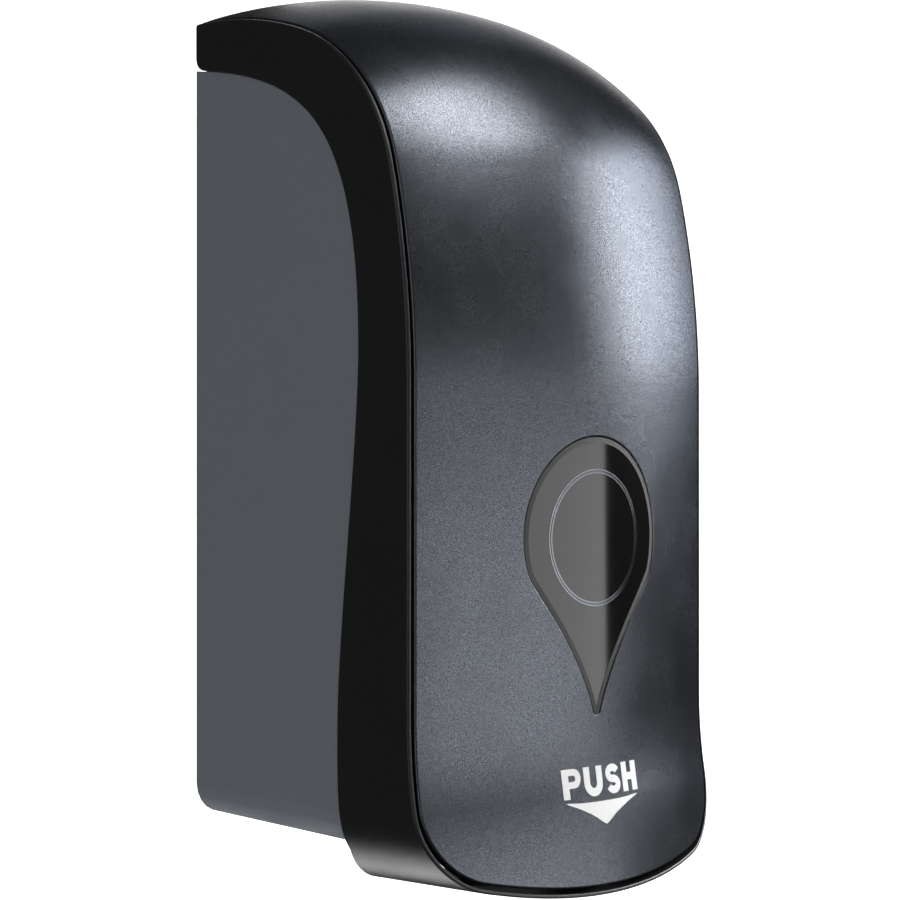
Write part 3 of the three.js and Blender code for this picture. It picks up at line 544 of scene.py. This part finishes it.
letter_p = [(0, 0), (2.25, 0), (2.25, 2.55)] + arc(4.2, 4.9, 2.35, -90, 90, 12) + [(0, TALL)]
letter_p_hole = [(2.25, 4.15)] + arc(3.95, 4.9, 0.75, -90, 90, 8) + [(2.25, 5.65)]
letter_u = ([(0, TALL)] + arc(3.45, 3.3, 3.45, 180, 360, 18, 3.3) + [(6.9, TALL), (4.7, TALL)]
            + arc(3.45, 3.3, 1.25, 360, 180, 12, 1.3) + [(2.2, TALL)])
S_UPPER = arc(2.85, 4.9775, 1.88, 20, 270, 22, 1.3525)
S_LOWER = arc(2.85, 2.2725, 1.88, 90, -160, 22, 1.3525)
letter_s = stroke(S_UPPER + S_LOWER[1:], 0.92)
letter_h = [(0, 0), (2.15, 0), (2.15, 2.75), (3.95, 2.75), (3.95, 0), (6.1, 0), (6.1, TALL), (3.95, TALL),
            (3.95, 4.55), (2.15, 4.55), (2.15, TALL), (0, TALL)]
legend = Builder()
LIFT = -0.05  # the print stands this far out of the panel
TRIANGLE_X, TRIANGLE_TOP, TRIANGLE_TIP = 13.75, -86.25, -92.3
for start, shape, holes in ((-14.3, letter_p, [letter_p_hole]), (-6.6, letter_u, []), (1.6, letter_s, []),
                            (8.2, letter_h, [])):
    def to_panel(points):
        return on_surface([(x + start, z + CAP_FOOT) for x, z in points])
    plate(legend, anticlockwise(to_panel(shape)), [anticlockwise(to_panel(h))[::-1] for h in holes],
          LIFT, 0.05, surface, step=1.2, back_step=1.2)
triangle = [(-TRIANGLE_X, TRIANGLE_TOP), (0, TRIANGLE_TIP), (TRIANGLE_X, TRIANGLE_TOP)]
plate(legend, anticlockwise(on_surface(triangle)), [], LIFT, 0.05, surface, step=1.2, back_step=1.2)
obj = finish_plate(legend, "legend", body="panel")
obj.data.materials.append(MATERIALS["print_white"])

# ---- return spring ---------------------------------------------------------------------
spring = Builder()
SPRING_FRONT, SPRING_REAR, COIL_RADIUS, WIRE = -67.7, -53.3, 8.5, 0.55
TURNS = 4
COIL_STEPS = 240
WIRE_SIDES = 10
COIL_RISE = SPRING_REAR - SPRING_FRONT - 2 * WIRE
wire_angles = np.linspace(0, 2 * math.pi, WIRE_SIDES + 1)[:-1]
coil_rows = []
for i in range(COIL_STEPS + 1):
    t = i / COIL_STEPS
    angle = 2 * math.pi * TURNS * t
    radial = np.array([math.cos(angle), 0, math.sin(angle)])
    centre = radial * COIL_RADIUS + np.array([0, SPRING_FRONT + WIRE + COIL_RISE * t, PUSHER_Z])
    spokes = [radial * math.cos(a) + np.array([0, math.sin(a), 0]) for a in wire_angles]
    coil_rows.append((spring.add([centre + WIRE * k for k in spokes]), spokes))
for (ids0, n0), (ids1, n1) in zip(coil_rows, coil_rows[1:]):
    for k in range(WIRE_SIDES):
        m = (k + 1) % WIRE_SIDES
        spring.face([ids0[k], ids0[m], ids1[m], ids1[k]], [n0[k], n0[m], n1[m], n1[k]])
for ids, way in ((coil_rows[0][0], -1), (coil_rows[-1][0], 1)):
    spring.face(ids, [(0.0, way * 0.15, way * 1.0)] * WIRE_SIDES)
coil = finish_plate(spring, "return_spring", body="housing", finish="steel", replaces="pump_spring")
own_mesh(coil)

# ---- cover band ------------------------------------------------------------------------
def seam_line():
    upper = cubic((0, 97.07), (-40.56, 92.59), (-59.01, 78.69), (-59.01, 24.76), 60)
    middle = cubic((-59.01, 24.76), (-59.01, 1.32), (-51.92, -44.26), (-51.92, -67.69), 40)
    lower = cubic((-51.92, -67.69), (-51.92, -81.10), (-51.66, -91.21), (-55.8, -96.13), 24)
    return np.array(upper + middle[1:] + lower[1:])


SEAM = seam_line()
SPLIT_Z = 15.6
WALL_CORNER = 2.4
SEAM_END_Z = -96.13
CORNER_SHIFT = 0.926  # how far the seam moves rearwards per millimetre that the corner turns in


def seam_y(z):
    return float(np.interp(-z, -SEAM[:, 1], SEAM[:, 0]))


def side_pairs(count=64):
    """(s on the rim, (Y, Z) on the seam) from the wall down to the split height."""
    top = SEAM[SEAM[:, 1] >= SPLIT_Z]
    top = np.vstack([top, [seam_y(SPLIT_Z), SPLIT_Z]])
    length = np.concatenate([[0], np.cumsum(np.linalg.norm(np.diff(top, axis=0), axis=1))])
    first, last = s_at_y(HALF, -1.0), s_at_z(HALF, SPLIT_Z)
    out = []
    near_wall = [d / length[-1] for d in (1.1, 1.3, 1.6, 2.0, 2.6, 3.4, 4.3)]
    for t in [0.0] + near_wall + [5 / length[-1] + (1 - 5 / length[-1]) * i / count for i in range(count)]:
        at = length[-1] * t
        y, z = np.interp(at, length, top[:, 0]), np.interp(at, length, top[:, 1])
        missing = WALL_CORNER - min(WALL_CORNER, max(0.0, -y - 1))
        z -= 0.3 * min(1.0, max(0.0, (y + 40) / 15))
        z += WALL_CORNER - math.sqrt(WALL_CORNER ** 2 - missing ** 2)
        out.append((first + (last - first) * t, (y, z)))
    return out


LIP_REAR_MIDDLE = -46.5
LIP_REAR_FALL = 6.3
LIP_REAR_HALF = 53.15


def lip_rear(x):
    return LIP_REAR_MIDDLE - LIP_REAR_FALL * (abs(x) / LIP_REAR_HALF) ** 4


WALL = 1.2
WALL_STEP = 9.0  # distance behind the rim at which the wall's thickness changes
RIM = 1.0
RIM_OUTER_ROUND = 0.45
RIM_INNER_ROUND = 0.3


def band_sections():
    """Per station: rim point at an inset, rear point, out vector, (front wall, rear wall, step)."""
    stations = []
    for s, (ry, rz) in side_pairs():
        rear = np.array([-HALF, min(ry, -1.0), rz])
        thick = (WALL, WALL + 1.5 * min(1, max(0, (ry + 30) / 10)), WALL_STEP)
        stations.append((lambda u, s=s: surface(-HALF + u, s), rear, np.array([-1.0, 0, 0]), thick))
    foot = lower_outline(HALF, corner=20.7, bottom_radius=193.0, bottom_z=-109.3, n=20)
    straight = np.linspace(SPLIT_Z, foot[0][1], 36)[:-1]
    for z in straight:
        stations.append((lambda u, z=z: surface(-HALF + u, s_at_z(-HALF + u, z)),
                         np.array([-HALF, seam_y(z), z]), np.array([-1.0, 0, 0]), (WALL, WALL, WALL_STEP)))
    count = len(foot)
    for i, (x, z) in enumerate(foot):
        if i > count // 2:
            break
        ax, az = foot[max(i - 1, 0)]
        bx, bz = foot[i + 1]
        d = np.array([bx - ax, bz - az]) / math.hypot(bx - ax, bz - az)
        out = np.array([d[1], 0.0, -d[0]])
        if i == 0:
            out = np.array([-1.0, 0, 0])
        if out[0] > 0:
            out = -out
        inward = -out
        on_side = z > SEAM_END_Z and x < -50
        y = seam_y(z) + CORNER_SHIFT * (HALF + x) if on_side else lip_rear(x)
        deep = min(1.0, max(0.0, (-86 - z) / 10))
        thick = (WALL - 0.25 * deep, WALL + 1.0 * deep, WALL_STEP + 10.0 * deep)

        def rim(u, x=x, z=z, n=inward):
            moved = x + n[0] * u
            return surface(moved, s_at_z(moved, z + n[2] * u))

        stations.append((rim, np.array([x, y, z]), out, thick))
    return stations


def band_mesh():
    rows, row_normals = [], []
    for rim, rear, out, (wall_front, wall_rear, step) in band_sections():
        front, up = (np.array(v) for v in rim(0.0))
        rearward = (rear - front) / np.linalg.norm(rear - front)
        length = np.linalg.norm(rear - front)
        r, q = RIM_OUTER_ROUND, RIM_INNER_ROUND
        h = 1 - math.sqrt(0.5)  # share of a quarter round's radius at its middle
        turn = min(step, length * 0.6)  # where the wall's thickness changes
        at = lambda u, v: np.array(rim(u)[0]) + rearward * v
        points = [front + rearward * (length - 0.35), front + rearward * (r * 1.6),
                  at(0, 0) + rearward * r, at(r * h, r * h), at(r, 0), at(RIM - q, 0),
                  at(RIM - q * h, q * h), at(RIM, q),
                  front - out * wall_front + rearward * turn,
                  front - out * wall_rear + rearward * (turn + 2.0),
                  front - out * wall_rear + rearward * length,
                  front - out * 0.35 + rearward * length, front - out * 0.1 + rearward * (length - 0.1)]
        diagonal = (out + up) / np.linalg.norm(out + up)
        inner_diagonal = (up - out) / np.linalg.norm(up - out)
        back = (out + rearward) / np.linalg.norm(out + rearward)
        normals = [out, out, out, diagonal, up, up, inner_diagonal, -out, -out, -out, -out, rearward, back]
        rows.append(points)
        row_normals.append(normals)
    builder = Builder()
    mirror = np.array([-1.0, 1.0, 1.0])
    full = rows + [[p * mirror for p in row] for row in rows[:-1][::-1]]
    full_normals = row_normals + [[n * mirror for n in row] for row in row_normals[:-1][::-1]]
    ids = [builder.add(row) for row in full]
    width = len(full[0])
    for i in range(len(ids) - 1):
        for k in range(width):
            m = (k + 1) % width
            here, following = full_normals[i], full_normals[i + 1]
            builder.face([ids[i][k], ids[i][m], ids[i + 1][m], ids[i + 1][k]],
                         [here[k], here[m], following[m], following[k]])
    for row in (ids[0], ids[-1]):
        builder.face(row, [(0, 1.0, 0)] * width)
    return builder


finish_plate(band_mesh(), "band", body="cover", finish="band_black", replaces="cover_frame")

bridge = Builder()


def bridge_place(x, s, depth):
    return surface(x, s, 7.0 + depth)


s0, s1 = s_at_y(0, -4.0) + 3, s_at_y(0, -40.0)
BRIDGE_WIDE, BRIDGE_NARROW = 55.3, 51.9
bridge_outline = [(-BRIDGE_WIDE, s0), (BRIDGE_WIDE, s0), (BRIDGE_WIDE, s1), (BRIDGE_NARROW, s1 + 1),
                  (BRIDGE_NARROW, s1 + 26), (-BRIDGE_NARROW, s1 + 26), (-BRIDGE_NARROW, s1 + 1),
                  (-BRIDGE_WIDE, s1)]
plate(bridge, anticlockwise(bridge_outline), [], 0.0, 2.0, bridge_place, step=4.0, edge=0.3)
for side in (-1, 1):
    a, b = sorted((48.5 * side, 51.9 * side))
    boss = arc(*PANEL_PIVOT, 4.6, -200, 20, 16) + [(-52.5, 89.5), (-59.0, 88.0)]
    prism_x(bridge, anticlockwise(boss), a, b, holes=[arc(*PANEL_PIVOT, PIN_BORE, 360, 18, 19)])
    for span in ((33.5, 37.0), (24.0, 27.5)):
        a, b = sorted((span[0] * side, span[1] * side))
        lug = arc(*COVER_HINGE, 3.4, 0, 180, 14) + [(-55.4, -104.6), (-48.6, -104.6)]
        prism_x(bridge, anticlockwise(lug), a, b, holes=[arc(*COVER_HINGE, PIN_BORE, 360, 18, 19)])
LOCK_AXIS = (-24, 100)
prism_x(bridge, arc(*LOCK_AXIS, 5.4, 0, 345, 23), 47.9, 55.4, holes=[arc(*LOCK_AXIS, 3.9, 360, 15, 23)])
finish_plate(bridge, "cover_bridge", body="cover", finish="band_black")

# ---- surroundings ----------------------------------------------------------------------
CAMERA_AT = (-0.4797, -0.4810, 0.0)
CAMERA_TURN = 47.2  # degrees to the right of straight at the wall
scene = bpy.context.scene
scene.view_settings.view_transform = "Standard"
world = bpy.data.worlds.new("room")
scene.world = world
world.use_nodes = True
world.node_tree.nodes["Background"].inputs["Color"].default_value = (1, 1, 1, 1)
world.node_tree.nodes["Background"].inputs["Strength"].default_value = 0.07


def direction(az, el):
    a, e = math.radians(az), math.radians(el)
    return Vector((math.sin(a) * math.cos(e), -math.cos(a) * math.cos(e), math.sin(e)))


def softbox(name, az, el, radiance, reach=1.2):
    """Rectangular light that fills the given spans of azimuth and elevation, seen from the object."""
    middle = direction(sum(az) / 2, sum(el) / 2)
    width = 2 * reach * math.tan(math.radians((az[1] - az[0]) / 2)) * math.cos(math.radians(sum(el) / 2))
    height = 2 * reach * math.tan(math.radians((el[1] - el[0]) / 2))
    lamp = bpy.data.lights.new(name, "AREA")
    lamp.shape = "RECTANGLE"
    lamp.size, lamp.size_y = width, height
    lamp.energy = radiance * math.pi * width * height
    obj = bpy.data.objects.new(name, lamp)
    scene.collection.objects.link(obj)
    obj.location = Vector((0, -0.05, 0)) + middle * reach
    obj.rotation_euler = middle.to_track_quat("Z", "Y").to_euler()
    return obj


softbox("key", (12, 50), (33, 62), 10.0)
softbox("strip", (57, 92), (3, 27), 13.5)
softbox("rear", (112, 142), (18, 52), 2.2)
softbox("low", (-5, 52.7), (-18, 1), 2.5)
softbox("left", (-100, -62), (-15, 40), 0.85)
softbox("under", (150, 190), (-62, -38), 3.0)

backdrop_mesh = bpy.data.meshes.new("backdrop")
ahead = Vector((math.sin(math.radians(CAMERA_TURN)), math.cos(math.radians(CAMERA_TURN)), 0))
across = Vector((ahead.y, -ahead.x, 0))
centre = Vector(CAMERA_AT) + ahead * 1.9
reach = 0.9
signs = ((-1, -1), (1, -1), (1, 1), (-1, 1))
corners = [centre + across * a * reach + Vector((0, 0, b * reach)) for a, b in signs]
backdrop_mesh.from_pydata([tuple(c) for c in corners], [], [(0, 1, 2, 3)])
backdrop = bpy.data.objects.new("backdrop", backdrop_mesh)
scene.collection.objects.link(backdrop)
paper = bpy.data.materials.new("backdrop_white")
paper.use_nodes = True
paper_shader = paper.node_tree.nodes["Principled BSDF"]
paper_shader.inputs["Base Color"].default_value = (0.9, 0.9, 0.9, 1)
paper_shader.inputs["Emission Color"].default_value = (1, 1, 1, 1)
paper_shader.inputs["Emission Strength"].default_value = 1.0
backdrop_mesh.materials.append(paper)
backdrop.visible_glossy = backdrop.visible_diffuse = False

floor_mesh = bpy.data.meshes.new("floor")
floor_mesh.from_pydata([(-2, -2, -0.45), (2, -2, -0.45), (2, 2, -0.45), (-2, 2, -0.45)], [], [(0, 1, 2, 3)])
floor = bpy.data.objects.new("floor", floor_mesh)
scene.collection.objects.link(floor)
floor_mesh.materials.append(material("floor_pale", (0.8, 0.8, 0.8), 0.8, contrast=0.02, painted_edge_highlight=0.0))
floor.visible_glossy = False

camera = bpy.data.objects.new("camera", bpy.data.cameras.new("camera"))
camera.data.lens = 100
camera.data.sensor_width = 36
camera.location = CAMERA_AT
camera.rotation_euler = (math.radians(90), 0, math.radians(-CAMERA_TURN))
scene.collection.objects.link(camera)
scene.camera = camera
